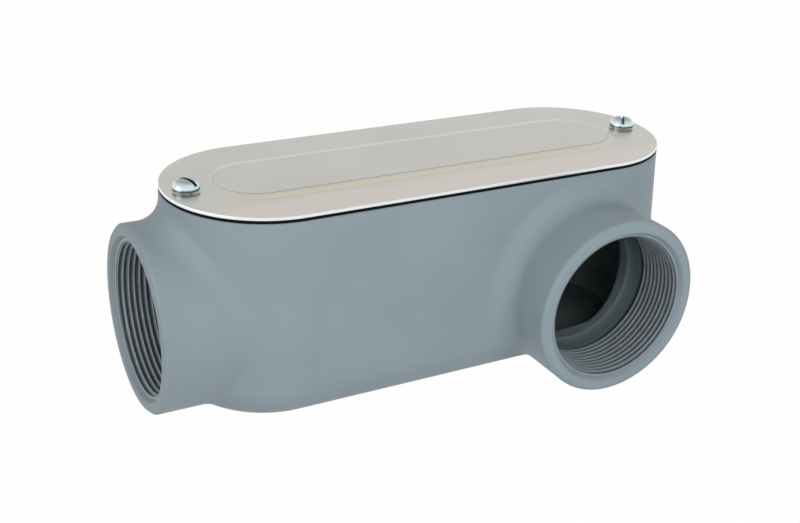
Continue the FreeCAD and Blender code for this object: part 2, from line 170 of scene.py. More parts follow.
class ScrewSettings(PropertyGroup):
    # Painted reflections by height on the head: grey crown, dark rim, pale highlight ring at the foot.
    zinc: colour("Zinc", "#D5E6EB", "Bright zinc plate with a blue passivate")
    crown: colour("Crown", "#9C9D96", "Duller plate on the crown of the head")
    rim_dark_reflection: colour("Rim", "#5A6A71", "Thin dark plate round the edge of the head")
    foot: colour("Foot", "#D3CDC3", "Pale burnished ring on which the head turns")
    # The slot's dark blue is painted shade over the passivate's blue.
    slot: colour("Slot", "#4B7A98", "Blue passivate that pooled in the slot")
    rim: length("Rim", 1.0 * MM, "Straight side of the head")
    shank: length("Shank", 4.8 * MM, "Outside diameter of the thread")
    pitch: length("Pitch", 25.4 / 24 * MM, "24 threads to the inch")
    slot_width: length("Slot width", 1.4 * MM, "Width of the driver slot")
    slot_depth: length("Slot depth", 2.0 * MM, "Depth of the driver slot")
    end_angle: FloatProperty(name="End slot", description="Turn of the end screw's slot from X",
                             default=math.radians(121), unit="ROTATION", subtype="ANGLE")
    far_angle: FloatProperty(name="Far slot", description="Turn of the far screw's slot from X",
                             default=math.radians(57), unit="ROTATION", subtype="ANGLE")


class GasketSettings(PropertyGroup):
    rubber: colour("Rubber", "#0C0E0F", "Black neoprene sheet")


class StudioSettings(PropertyGroup):
    azimuth: FloatProperty(name="Azimuth", description="Turn of the camera round the body",
                           default=math.radians(-29.307), unit="ROTATION", subtype="ANGLE")
    elevation: FloatProperty(name="Elevation", description="Height of the camera above the horizon",
                             default=math.radians(24.36), unit="ROTATION", subtype="ANGLE")
    roll: FloatProperty(name="Roll", description="Turn of the camera about its own axis",
                        default=math.radians(2.344), unit="ROTATION", subtype="ANGLE")
    target: FloatVectorProperty(name="Target", description="Point that the camera looks at", size=3,
                                default=(-6.039 * MM, 4.653 * MM, 37.512 * MM), unit="LENGTH", precision=5)
    distance: length("Distance", 503.963 * MM, "From the camera to its target")
    lens: FloatProperty(name="Lens", description="Focal length", default=54.773, unit="CAMERA")
    key: FloatProperty(name="Key light", description="Power of the softbox over the side hub",
                       default=8.4, unit="POWER")
    fill: FloatProperty(name="Fill light", description="Power of the softbox beside the end hub",
                        default=7.6, unit="POWER")
    ambient: FloatProperty(name="Ambient", description="Strength of the room light", default=0.34)


class ConduitBodySettings(PropertyGroup):
    casting: PointerProperty(type=CastingSettings)
    thread: PointerProperty(type=ThreadSettings)
    cover: PointerProperty(type=CoverSettings)
    screw: PointerProperty(type=ScrewSettings)
    gasket: PointerProperty(type=GasketSettings)
    studio: PointerProperty(type=StudioSettings)


# ---------------------------------------------------------------- nodes and meshes

def add_node(tree, kind, *inputs, links=None, **settings):
    """Add a node with its settings. Plain arguments feed its inputs in order, links those that it names.

    An input takes a socket, the first output of a node, or a value."""
    node = tree.nodes.new(kind)
    for name, setting in settings.items():
        setattr(node, name, setting)
    for name, source in [*enumerate(inputs), *(links or {}).items()]:
        if isinstance(source, bpy.types.Node):
            source = source.outputs[0]
        if isinstance(source, bpy.types.NodeSocket):
            tree.links.new(source, node.inputs[name])
        else:
            node.inputs[name].default_value = source
    return node


def finish(name, lay, *looks):
    """Material whose shader is the node that lay(tree, *looks) returns."""
    material = bpy.data.materials.new(name)
    material.use_nodes = True
    tree = material.node_tree
    tree.nodes.clear()
    add_node(tree, "ShaderNodeOutputMaterial", lay(tree, *looks))
    return material


def rgba(tone):
    """The colour with full opacity."""
    return (*tone, 1.0)


def shaded(tone, factor):
    """The colour made lighter or darker."""
    return tuple(min(part * factor, 1.0) for part in tone)


def with_stops(ramp, *stops):
    """The colour ramp with these stops, each a position and a colour."""
    elements = ramp.color_ramp.elements
    while len(elements) < len(stops):
        elements.new(0.5)
    for element, (position, tone) in zip(elements, stops):
        element.position = position
        element.color = rgba(tone)
    return ramp


def mottled(tree, blotches, tone, spread):
    """The tone, darker by the spread where the blotches are low and lighter by it where they are high."""
    return with_stops(add_node(tree, "ShaderNodeValToRGB", blotches),
                      (0.3, shaded(tone, 1 - spread)), (0.7, shaded(tone, 1 + spread)))


def diagonal(tree, first, second):
    """Length of the diagonal over two sides."""
    sides = add_node(tree, "ShaderNodeCombineXYZ", first, second)
    return add_node(tree, "ShaderNodeVectorMath", sides, operation="LENGTH").outputs["Value"]


def new_piece(name, mesh, stands_for=None):
    """Put a finished mesh in the scene as a piece of the object, perhaps instead of a CAD node."""
    piece = bpy.data.objects.new(name, mesh)
    bpy.context.scene.collection.objects.link(piece)
    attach(piece, "root")
    if stands_for:
        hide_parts(stands_for)


def input_sockets(tree, sizes):
    """Named inputs of a geometry tree, from the types of their values."""
    kinds = {int: "NodeSocketInt", float: "NodeSocketFloat", bpy.types.Material: "NodeSocketMaterial"}
    sockets = {}
    for name, size in sizes.items():
        sockets[name] = tree.interface.new_socket(name=name, in_out="INPUT", socket_type=kinds[type(size)])
    return sockets


def grow_mesh(name, build, sizes):
    """Mesh that a geometry tree makes: build(tree, inputs) adds its nodes and returns the last one."""
    tree = bpy.data.node_groups.new(name, "GeometryNodeTree")
    tree.interface.new_socket(name="Geometry", in_out="OUTPUT", socket_type="NodeSocketGeometry")
    sockets = input_sockets(tree, sizes)
    inputs = add_node(tree, "NodeGroupInput").outputs
    realized = add_node(tree, "GeometryNodeRealizeInstances", build(tree, inputs))
    finished = add_node(tree, "GeometryNodeSetMaterial", realized, links={"Material": inputs["Material"]})
    add_node(tree, "NodeGroupOutput", finished)
    carrier = bpy.data.objects.new(name, bpy.data.meshes.new(name))
    bpy.context.scene.collection.objects.link(carrier)
    modifier = carrier.modifiers.new(name, "NODES")
    modifier.node_group = tree
    for label, socket in sockets.items():
        modifier[socket.identifier] = sizes[label]
    graph = bpy.context.evaluated_depsgraph_get()
    mesh = bpy.data.meshes.new_from_object(carrier.evaluated_get(graph), depsgraph=graph)
    carrier.modifiers.remove(modifier)
    bpy.data.objects.remove(carrier)
    if not mesh.polygons:
        raise RuntimeError("%s came out empty" % name)
    mesh.name = name
    return mesh


# ---------------------------------------------------------------- finishes

def in_wiring_space(tree, place):
    """1 on the walls and floor of the wiring space, and 0 on the outside of the casting.

    The casting's back edge is rounded, so the space narrows towards its floor."""
    narrows_over = 15 * MM
    steepness = 0.8
    x, y, z = add_node(tree, "ShaderNodeSeparateXYZ", place).outputs
    aside = add_node(tree, "ShaderNodeMath", x, operation="ABSOLUTE")
    straight = COVER_HIGH.x - COVER_HIGH.y
    past_straight = add_node(tree, "ShaderNodeMath", aside, straight, operation="SUBTRACT")
    past_straight = add_node(tree, "ShaderNodeMath", past_straight, 0.0, operation="MAXIMUM")
    from_spine = diagonal(tree, past_straight, y)
    flat = COVER_HIGH.y - narrows_over
    past_flat = add_node(tree, "ShaderNodeMath", from_spine, flat, operation="SUBTRACT")
    past_flat = add_node(tree, "ShaderNodeMath", past_flat, 0.0, operation="MAXIMUM")
    above_edge = add_node(tree, "ShaderNodeMath", past_flat, -steepness, z, operation="MULTIPLY_ADD")
    over_floor = add_node(tree, "ShaderNodeMath", above_edge, WALL_MIDDLE, operation="GREATER_THAN")
    wall = COVER_HIGH.y - WALL_MIDDLE
    in_walls = add_node(tree, "ShaderNodeMath", from_spine, wall, operation="LESS_THAN")
    return add_node(tree, "ShaderNodeMath", in_walls, over_floor, operation="MULTIPLY")


def from_hub_axis(tree, place, name):
    """Distance from a hub's axis on that hub's side of the casting, and a metre more elsewhere."""
    behind_side_stop = COVER_HIGH.y - 8 * MM
    x, y, z = add_node(tree, "ShaderNodeSeparateXYZ", place).outputs
    centre = Vector(MOUNTS[name]["pos_m"])
    up = add_node(tree, "ShaderNodeMath", z, centre.z, operation="SUBTRACT")
    if name == "end_hub":
        across = y
        away = add_node(tree, "ShaderNodeMath", x, 0.0, operation="GREATER_THAN")
    else:
        across = add_node(tree, "ShaderNodeMath", x, centre.x, operation="SUBTRACT")
        away = add_node(tree, "ShaderNodeMath", y, -behind_side_stop, operation="GREATER_THAN")
    return add_node(tree, "ShaderNodeMath", diagonal(tree, across, up), away, operation="ADD")


def enamel_on_casting(tree, casting):
    """Baked enamel on die-cast aluminium: satin, with the soft grain of the casting's skin under it.

    The wiring space is darker: partly overspray only, partly painted shade of the closed space.
    In the hubs the lip of the conduit stop has a painted highlight, and painted shade darkens
    the bore between the stop and the threads."""
    place = add_node(tree, "ShaderNodeTexCoord").outputs["Object"]
    coats = add_node(tree, "ShaderNodeTexNoise", links={
        "Vector": place, "Scale": 1 / (35 * MM), "Detail": 3.0})
    spray = add_node(tree, "ShaderNodeTexNoise", links={
        "Vector": place, "Scale": 1 / (8 * MM), "Detail": 3.0})
    # Darker inside the wiring space: partly overspray only, partly painted shade.
    tone = add_node(tree, "ShaderNodeMix", data_type="RGBA", links={
        0: in_wiring_space(tree, place), 6: mottled(tree, coats, casting.paint, 0.04),
        7: mottled(tree, spray, casting.inside, 0.15)})
    slack = 0.25 * MM
    bore = MOUNTS["end_hub"]["dims"]["r_mm"] * MM + slack
    stop_width = 4.2 * MM
    from_axis = add_node(tree, "ShaderNodeMath", from_hub_axis(tree, place, "end_hub"),
                         from_hub_axis(tree, place, "side_hub"), operation="MINIMUM")
    down_stop = add_node(tree, "ShaderNodeMapRange", links={
        "Value": from_axis, "From Min": bore - stop_width, "From Max": bore})
    # Painted highlight on the lip of the conduit stop, painted shade from there out to the threads.
    throat_shade = casting.throat_shade
    lip_highlight_and_throat_shade = with_stops(add_node(tree, "ShaderNodeValToRGB", down_stop), (0.0, shaded(throat_shade, 1.7)),
                        (0.25, shaded(throat_shade, 1.1)), (0.6, shaded(throat_shade, 0.8)), (1.0, throat_shade))
    in_bore = add_node(tree, "ShaderNodeMath", from_axis, bore, operation="LESS_THAN")
    tone = add_node(tree, "ShaderNodeMix", data_type="RGBA", links={
        0: in_bore, 6: tone.outputs[2], 7: lip_highlight_and_throat_shade})
    pits = add_node(tree, "ShaderNodeTexNoise", links={
        "Vector": place, "Scale": 1 / casting.grain, "Detail": 3.0, "Roughness": 0.6})
    fine = add_node(tree, "ShaderNodeTexNoise", links={"Vector": place, "Scale": 1 / (0.45 * MM)})
    height = add_node(tree, "ShaderNodeMath", fine, 0.35, pits, operation="MULTIPLY_ADD")
    # The enamel flows a little round the hubs' edges as it bakes.
    soft_edges = add_node(tree, "ShaderNodeBevel", samples=6, links={"Radius": 1.6 * MM})
    bump = add_node(tree, "ShaderNodeBump", links={
        "Strength": 0.22, "Distance": 0.12 * MM, "Height": height, "Normal": soft_edges})
    satin = add_node(tree, "ShaderNodeMapRange", links={"Value": pits, "To Min": 0.46, "To Max": 0.56})
    return add_node(tree, "ShaderNodeBsdfPrincipled", links={
        "Base Color": tone.outputs[2], "Roughness": satin, "IOR": 1.5, "Specular IOR Level": 0.3,
        "Normal": bump})


def cut_thread_enamel(tree, base, grain):
    """Tapped thread enamel: painted highlight on the crests and the lip, and painted shade in the roots."""
    place = add_node(tree, "ShaderNodeTexCoord").outputs["Object"]
    patches = add_node(tree, "ShaderNodeTexNoise", links={
        "Vector": place, "Scale": 1 / (2.5 * grain), "Detail": 3.0})
    uneven = add_node(tree, "ShaderNodeMath", patches, 0.3, -0.15, operation="MULTIPLY_ADD")
    crest = add_node(tree, "ShaderNodeAttribute", attribute_name="crest").outputs["Fac"]
    level = add_node(tree, "ShaderNodeMath", crest, uneven, operation="ADD")
    # Painted shade in the roots, and painted highlight on the crests and the lip.
    tone = with_stops(add_node(tree, "ShaderNodeValToRGB", level), (0.15, shaded(base, 0.22)),
                      (0.8, shaded(base, 0.9)), (1.0, shaded(base, 1.25)))
    pits = add_node(tree, "ShaderNodeTexNoise", links={"Vector": place, "Scale": 1 / grain})
    bump = add_node(tree, "ShaderNodeBump", links={"Strength": 0.2, "Distance": 0.1 * MM, "Height": pits})
    return add_node(tree, "ShaderNodeBsdfPrincipled", links={
        "Base Color": tone, "Roughness": 0.45, "IOR": 1.5, "Specular IOR Level": 0.3, "Normal": bump})


def mill_finish_sheet(tree, cover):
    """Rolled aluminium sheet as it leaves the mill: a satin metal with faint lines along the roll.

    The -Y side is tinted warmer. Where the die draws the metal up it is paler: partly the stretched
    metal's own tone, mostly a painted highlight on the -Y slopes, with a painted shade line at each bend."""
    place = add_node(tree, "ShaderNodeTexCoord").outputs["Object"]
    stretched = add_node(tree, "ShaderNodeMapping", links={"Vector": place, "Scale": (0.03, 1.0, 1.0)})
    # Real rolling lines are finer. They are drawn this coarse so that they show.
    lines = add_node(tree, "ShaderNodeTexNoise", links={
        "Vector": stretched, "Scale": 1 / (0.5 * MM), "Detail": 3.0, "Roughness": 0.6})
    clouds = add_node(tree, "ShaderNodeTexNoise", links={"Vector": place, "Scale": 1 / (45 * MM)})
    y = add_node(tree, "ShaderNodeSeparateXYZ", place).outputs[1]
    wavy_y = add_node(tree, "ShaderNodeMath", clouds, 16 * MM, y, operation="MULTIPLY_ADD")
    # The band towards the -Y edge takes the warmer tone.
    near_edge = add_node(tree, "ShaderNodeMapRange", links={
        "Value": wavy_y, "From Min": -10 * MM, "From Max": -20 * MM})
    cloudy = with_stops(add_node(tree, "ShaderNodeValToRGB", clouds),
                        (0.35, shaded(cover.metal, 0.97)), (0.65, shaded(cover.metal, 1.03)))
    tone = add_node(tree, "ShaderNodeMix", data_type="RGBA", links={
        0: near_edge, 6: cloudy, 7: rgba(cover.warm)})
    # Paler drawn slopes, mostly painted highlight, and painted shade lines at the bends.
    for mark, marked in (("drawn", cover.drawn), ("crease_shade", cover.crease_shade)):
        share = add_node(tree, "ShaderNodeAttribute", attribute_name=mark).outputs["Fac"]
        tone = add_node(tree, "ShaderNodeMix", data_type="RGBA", links={
            0: share, 6: tone.outputs[2], 7: rgba(marked)})
    height = add_node(tree, "ShaderNodeMath", clouds, 6.0, lines, operation="MULTIPLY_ADD")
    bump = add_node(tree, "ShaderNodeBump", links={
        "Strength": 0.08, "Distance": 0.05 * MM, "Height": height})
    satin = add_node(tree, "ShaderNodeMapRange", links={"Value": lines, "To Min": 0.17, "To Max": 0.25})
    return add_node(tree, "ShaderNodeBsdfPrincipled", links={
        "Base Color": tone.outputs[2], "Metallic": 1.0, "Roughness": satin, "Normal": bump})


def sheared_edge(tree, base):
    """Cut edge of aluminium sheet: burnished bright by the punch, with fine lines across the thickness."""
    place = add_node(tree, "ShaderNodeTexCoord").outputs["Object"]
    upright = add_node(tree, "ShaderNodeMapping", links={"Vector": place, "Scale": (1.0, 1.0, 0.1)})
    lines = add_node(tree, "ShaderNodeTexNoise", links={"Vector": upright, "Scale": 1 / (0.6 * MM)})
    tone = with_stops(add_node(tree, "ShaderNodeValToRGB", lines), (0.3, shaded(base, 0.93)), (0.7, base))
    scuffed = add_node(tree, "ShaderNodeMapRange", links={"Value": lines, "To Min": 0.3, "To Max": 0.42})
    return add_node(tree, "ShaderNodeBsdfPrincipled", links={
        "Base Color": tone, "Metallic": 1.0, "Roughness": scuffed})


def zinc_with_painted_reflections(tree, screw, low, high):
    """Bright zinc plate, passivated clear blue, with painted reflections in bands by height:
    grey on the crown, dark at the rim, and a pale painted highlight ring at the foot.
    """
    place = add_node(tree, "ShaderNodeTexCoord").outputs["Object"]
    z = add_node(tree, "ShaderNodeSeparateXYZ", place).outputs[2]
    level = add_node(tree, "ShaderNodeMapRange", links={"Value": z, "From Min": low, "From Max": high})
    patches = add_node(tree, "ShaderNodeTexNoise", links={"Vector": place, "Scale": 1 / (3.0 * MM)})
    uneven = add_node(tree, "ShaderNodeMath", patches, 0.16, -0.08, operation="MULTIPLY_ADD")
    wavy_level = add_node(tree, "ShaderNodeMath", level, uneven, operation="ADD")
    # Painted reflections in bands up the head: pale foot, dark rim, bright zinc, grey crown.
    tone = with_stops(add_node(tree, "ShaderNodeValToRGB", wavy_level), (0.04, screw.foot),
                      (0.08, screw.rim_dark_reflection), (0.17, screw.rim_dark_reflection), (0.32, screw.zinc),
                      (0.62, shaded(screw.zinc, 0.92)), (0.88, screw.crown))
    spots = add_node(tree, "ShaderNodeTexNoise", links={
        "Vector": place, "Scale": 1 / (0.6 * MM), "Detail": 3.0})
    bright = add_node(tree, "ShaderNodeMapRange", links={"Value": spots, "To Min": 0.12, "To Max": 0.22})
    return add_node(tree, "ShaderNodeBsdfPrincipled", links={
        "Base Color": tone, "Metallic": 1.0, "Roughness": bright})


def slot_zinc_in_painted_shade(tree, base):
    """Zinc in the driver slot with the passivate's blue, darkened as painted shade."""
    place = add_node(tree, "ShaderNodeTexCoord").outputs["Object"]
    stains = add_node(tree, "ShaderNodeTexNoise", links={"Vector": place, "Scale": 1 / (0.8 * MM)})
    return add_node(tree, "ShaderNodeBsdfPrincipled", links={
        "Base Color": mottled(tree, stains, base, 0.2), "Metallic": 1.0, "Roughness": 0.45})


def neoprene_sheet(tree, base):
    """Die-cut neoprene: matt black rubber with a fine talc-like grain."""
    place = add_node(tree, "ShaderNodeTexCoord").outputs["Object"]
    # Real neoprene has a finer grain. It is drawn this coarse so that it shows.
    grain = add_node(tree, "ShaderNodeTexNoise", links={
        "Vector": place, "Scale": 1 / (0.4 * MM), "Detail": 3.0})
    tone = with_stops(add_node(tree, "ShaderNodeValToRGB", grain),
                      (0.0, shaded(base, 0.8)), (1.0, shaded(base, 1.3)))
    bump = add_node(tree, "ShaderNodeBump", links={"Strength": 0.3, "Distance": 0.05 * MM, "Height": grain})
    return add_node(tree, "ShaderNodeBsdfPrincipled", links={
        "Base Color": tone, "Roughness": 0.8, "IOR": 1.5, "Specular IOR Level": 0.1, "Normal": bump})


# ---------------------------------------------------------------- hub threads

def hub_matrix(mount):
    """Turns a bore that opens towards +Z at the origin into that hub's mouth."""
    axis = Vector(mount["axis"])
    depth = mount_mouth_gap(mount)
    face = Vector(mount["pos_m"]) + axis * depth
    return Matrix.Translation(face) @ axis.to_track_quat("Z", "Y").to_matrix().to_4x4()


def mount_mouth_gap(mount):
    """From the middle of a hub's bore to the plane of its face."""
    low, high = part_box("body_casting")
    axis, place = Vector(mount["axis"]), Vector(mount["pos_m"])
    side = high if sum(axis) > 0 else low
    return (side - place).dot(axis)


def flat_grid(tree, steps, rows):
    """A grid to roll up: its mesh, and the part of a turn and the row of each point."""
    across = add_node(tree, "ShaderNodeMath", steps, 1.0, operation="ADD")
    down = add_node(tree, "ShaderNodeMath", rows, 1.0, operation="ADD")
    mesh = add_node(tree, "GeometryNodeMeshGrid", links={
        "Size X": 1.0, "Size Y": 1.0, "Vertices X": across, "Vertices Y": down})
    place = add_node(tree, "GeometryNodeInputPosition")
    x, y, _ = add_node(tree, "ShaderNodeSeparateXYZ", place).outputs
    turn = add_node(tree, "ShaderNodeMath", x, 0.5, operation="ADD")
    share = add_node(tree, "ShaderNodeMath", y, 0.5, operation="ADD")
    return mesh, turn, add_node(tree, "ShaderNodeMath", share, rows, operation="MULTIPLY")


def rolled_up(tree, mesh, turn, radius, height):
    """The grid rolled round Z, with its seam joined."""
    angle = add_node(tree, "ShaderNodeMath", turn, 2 * math.pi, operation="MULTIPLY")
    cosine = add_node(tree, "ShaderNodeMath", angle, operation="COSINE")
    sine = add_node(tree, "ShaderNodeMath", angle, operation="SINE")
    place = add_node(tree, "ShaderNodeCombineXYZ",
                     add_node(tree, "ShaderNodeMath", radius, cosine, operation="MULTIPLY"),
                     add_node(tree, "ShaderNodeMath", radius, sine, operation="MULTIPLY"), height)
    wrapped = add_node(tree, "GeometryNodeSetPosition", mesh, links={"Position": place})
    return add_node(tree, "GeometryNodeMergeByDistance", wrapped, links={"Distance": 0.001 * MM})


def helix_slope(tree, turn, depth, pitch):
    """Runs from 1 to 0 and back to 1 across each thread of a helix."""
    turns_deep = add_node(tree, "ShaderNodeMath", depth, pitch, operation="DIVIDE")
    phase = add_node(tree, "ShaderNodeMath", turn, turns_deep, operation="ADD")
    phase = add_node(tree, "ShaderNodeMath", phase, operation="FRACT")
    centred = add_node(tree, "ShaderNodeMath", phase, 2.0, -1.0, operation="MULTIPLY_ADD")
    return add_node(tree, "ShaderNodeMath", centred, operation="ABSOLUTE")


def thread_crest(tree, inputs, turn, depth, along):
    """How far up the thread a point is, from root to crest, with a raised lip at the mouth,
    and how much painted highlight it gets.
    """
    # The crest and the root are cut flat, with straight flanks between them.
    flank, level_crest = 1.2, 1.1
    # Parts of the span over which the thread runs in and out, and how fast the mouth's lip falls away.
    runs_in_over, runs_out_over, lip_fall = 1 / 30, 1 / 14, 22.0
    slope = helix_slope(tree, turn, depth, inputs["Pitch"])
    ridge = add_node(tree, "ShaderNodeMath", slope, -flank, level_crest, operation="MULTIPLY_ADD",
                     use_clamp=True)
    left = add_node(tree, "ShaderNodeMath", 1.0, along, operation="SUBTRACT")
    runs_in = add_node(tree, "ShaderNodeMath", along, runs_in_over, operation="DIVIDE", use_clamp=True)
    runs_out = add_node(tree, "ShaderNodeMath", left, runs_out_over, operation="DIVIDE", use_clamp=True)
    fullness = add_node(tree, "ShaderNodeMath", runs_in, runs_out, operation="MULTIPLY")
    thread = add_node(tree, "ShaderNodeMath", ridge, fullness, operation="MULTIPLY")
    lip = add_node(tree, "ShaderNodeMath", along, -lip_fall, inputs["Lip"], operation="MULTIPLY_ADD",
                   use_clamp=True)
    lip_highlight = add_node(tree, "ShaderNodeMath", lip, inputs["Lip"], operation="DIVIDE")
    crest = add_node(tree, "ShaderNodeMath", thread, lip, operation="MAXIMUM")
    return crest, add_node(tree, "ShaderNodeMath", thread, lip_highlight, operation="MAXIMUM")


def thread_sleeve(tree, inputs):
    """A ring of metal whose inside is a helical thread: a grid rolled up both ways and joined.

    The rows run down the thread. Two more rows make the back of the ring, and the last meets the first."""
    threads = add_node(tree, "ShaderNodeMath", inputs["Span"], inputs["Pitch"], operation="DIVIDE")
    threads = add_node(tree, "ShaderNodeMath", threads, operation="ROUND")
    rows = add_node(tree, "ShaderNodeMath", inputs["Steps across"], threads, operation="MULTIPLY")
    all_rows = add_node(tree, "ShaderNodeMath", rows, 3.0, operation="ADD")
    mesh, turn, row = flat_grid(tree, inputs["Steps round"], all_rows)
    beyond = add_node(tree, "ShaderNodeMath", row, rows, operation="SUBTRACT")
    after_thread = add_node(tree, "ShaderNodeMath", beyond, 0.5, operation="GREATER_THAN")
    before_last = add_node(tree, "ShaderNodeMath", beyond, 2.5, operation="LESS_THAN")
    on_back = add_node(tree, "ShaderNodeMath", after_thread, before_last, operation="MULTIPLY")
    before_return = add_node(tree, "ShaderNodeMath", beyond, 1.5, operation="LESS_THAN")
    share = add_node(tree, "ShaderNodeMath", row, rows, operation="DIVIDE", use_clamp=True)
    along = add_node(tree, "ShaderNodeMath", share, before_return, operation="MULTIPLY")
    depth = add_node(tree, "ShaderNodeMath", along, inputs["Span"], inputs["Start"],
                     operation="MULTIPLY_ADD")
    crest, crest_highlight = thread_crest(tree, inputs, turn, depth, along)
    fall = add_node(tree, "ShaderNodeMath", depth, inputs["Taper"], operation="MULTIPLY")
    root = add_node(tree, "ShaderNodeMath", inputs["Bore radius"], fall, operation="SUBTRACT")
    rise = add_node(tree, "ShaderNodeMath", crest, inputs["Ridge"], operation="MULTIPLY")
    inner = add_node(tree, "ShaderNodeMath", root, rise, operation="SUBTRACT")
    radius = add_node(tree, "GeometryNodeSwitch", on_back, inner, inputs["Wall radius"], input_type="FLOAT")
    # The crest attribute carries the painted highlight of the crests and the mouth's lip.
    marked = add_node(tree, "GeometryNodeStoreNamedAttribute", mesh, data_type="FLOAT", domain="POINT",
                      links={"Name": "crest", "Value": crest_highlight})
    height = add_node(tree, "ShaderNodeMath", depth, -1.0, operation="MULTIPLY")
    return add_node(tree, "GeometryNodeSetShadeSmooth", rolled_up(tree, marked, turn, radius, height))


def save_closed(shape, mesh):
    """Put the shape in the mesh, and stop if it is open anywhere."""
    open_edges = sum(not edge.is_manifold for edge in shape.edges)
    shape.to_mesh(mesh)
    shape.free()
    if open_edges:
        raise RuntimeError("%s has %d open edges" % (mesh.name, open_edges))


def face_outwards(mesh):
    """Merge what is left of seams, and turn every face of a closed mesh outwards."""
    shape = bmesh.new()
    shape.from_mesh(mesh)
    bmesh.ops.remove_doubles(shape, verts=shape.verts, dist=0.0005 * MM)
    bmesh.ops.recalc_face_normals(shape, faces=shape.faces)
    save_closed(shape, mesh)


# ---------------------------------------------------------------- cover

def obround(half_length, half_width):
    """Points of an obround, anticlockwise, with the outward direction at each."""
    points = []
    straight = half_length - half_width
    for side in (1, -1):
        for i in range(END_STEPS + 1):
            angle = math.pi * (i / END_STEPS - 0.5)
            out = Vector((math.cos(angle), math.sin(angle))) * side
            points.append((Vector((straight * side, 0)) + out * half_width, out))
        for i in range(1, END_STEPS // 2):
            across = half_width * side
            reach = straight * side * (1 - 4 * i / END_STEPS)
            points.append((Vector((reach, across)), Vector((0, side))))
    return points


def circle(centre, radius):
    """Points of a circle, anticlockwise, with the outward direction at each."""
    points = []
    for i in range(HOLE_STEPS):
        angle = 2 * math.pi * i / HOLE_STEPS
        out = Vector((math.cos(angle), math.sin(angle)))
        points.append((Vector(centre) + out * radius, out))
    return points


def rounded_step(share):
    """A step from 0 to 1 with soft shoulders, and its slope."""
    soft = 0.3
    top = 1 / (1 - soft)
    if share < soft:
        return top * share ** 2 / (2 * soft), top * share / soft
    if share > 1 - soft:
        rest = 1 - share
        return 1 - top * rest ** 2 / (2 * soft), top * rest / soft
    return top * (share - soft / 2), top


def cover_rings(cover, half_length, half_width):
    """Rings of the cover's upper face, each point with its height, normal, painted slope highlight and
    painted bend shade.

    With them come the numbers of the rings that are screw holes."""
    rings, holes = [], []

    def add_ring(points, height, slope, drawn=0.0, crease_shade=0.0):
        """A ring at one height, whose normals lean out by the slope."""
        ring = []
        for point, out in points:
            # The painted highlight and shade on the slopes are strongest on the -Y side.
            toward_minus_y = max(-out.y, 0.0)
            ring.append((point, height, Vector((out.x * slope, out.y * slope, 1)).normalized(),
                         drawn * (0.2 + 0.8 * toward_minus_y), crease_shade * (0.4 + 0.6 * toward_minus_y)))
        rings.append(ring)

    add_ring(obround(half_length - DIE_ROLL, half_width - DIE_ROLL), 0.0, 0.0)
    foot = (cover.panel_length / 2, cover.panel_width / 2)
    top = (cover.top_length / 2, cover.top_width / 2)
    for share, drawn, crease_shade in SLOPE_STEPS:
        rise, steepness = rounded_step(share)
        slope = cover.rise * steepness / (foot[1] - top[1])
        add_ring(obround(foot[0] + (top[0] - foot[0]) * share, foot[1] + (top[1] - foot[1]) * share),
                 cover.rise * rise, slope, drawn, crease_shade)
    bead_run = 0.9 * MM
    for side in (-1, 1):
        centre = (side * SCREW_OFFSET, 0)
        for share, drawn, _ in SLOPE_STEPS:
            rise, steepness = rounded_step(share)
            add_ring(circle(centre, cover.bead / 2 - bead_run * share), cover.bead_rise * rise,
                     cover.bead_rise * steepness / bead_run, drawn)
        holes.append(len(rings))
        add_ring(circle(centre, cover.hole / 2), cover.bead_rise, 0.0)
    return rings, holes


def is_in_hole(point, cover):
    """Whether the middle of a face lies in a screw hole."""
    inner = cover.hole / 2 * math.cos(math.pi / HOLE_STEPS)
    return any((point - Vector((side * SCREW_OFFSET, 0))).length < inner for side in (-1, 1))


def pressed_skin(cover, half_length, half_width):
    """The pressed face in triangles: its points with their values, its faces, its rim and its holes."""
    rings, holes = cover_rings(cover, half_length, half_width)
    values, edges, starts = [], [], []
    for ring in rings:
        start = len(values)
        starts.append(start)
        edges += [(start + i, start + (i + 1) % len(ring)) for i in range(len(ring))]
        values += ring
    points, _, faces, origin, _, _ = delaunay_2d_cdt([value[0] for value in values], edges, [], 0, 1e-9)
    place = {first: index for index, ids in enumerate(origin) for first in ids}
    loops = [[place[start + i] for i in range(len(ring))] for start, ring in zip(starts, rings)]
    kept = []
    for face in faces:
        middle = sum((points[i] for i in face), Vector((0, 0))) / len(face)
        if is_in_hole(middle, cover) or is_outside(middle, half_length, half_width):
            continue
        kept.append(face if signed_area([points[i] for i in face]) > 0 else list(reversed(face)))
    values = [values[ids[0]] for ids in origin]
    return points, values, kept, loops[0], [loops[number] for number in holes]


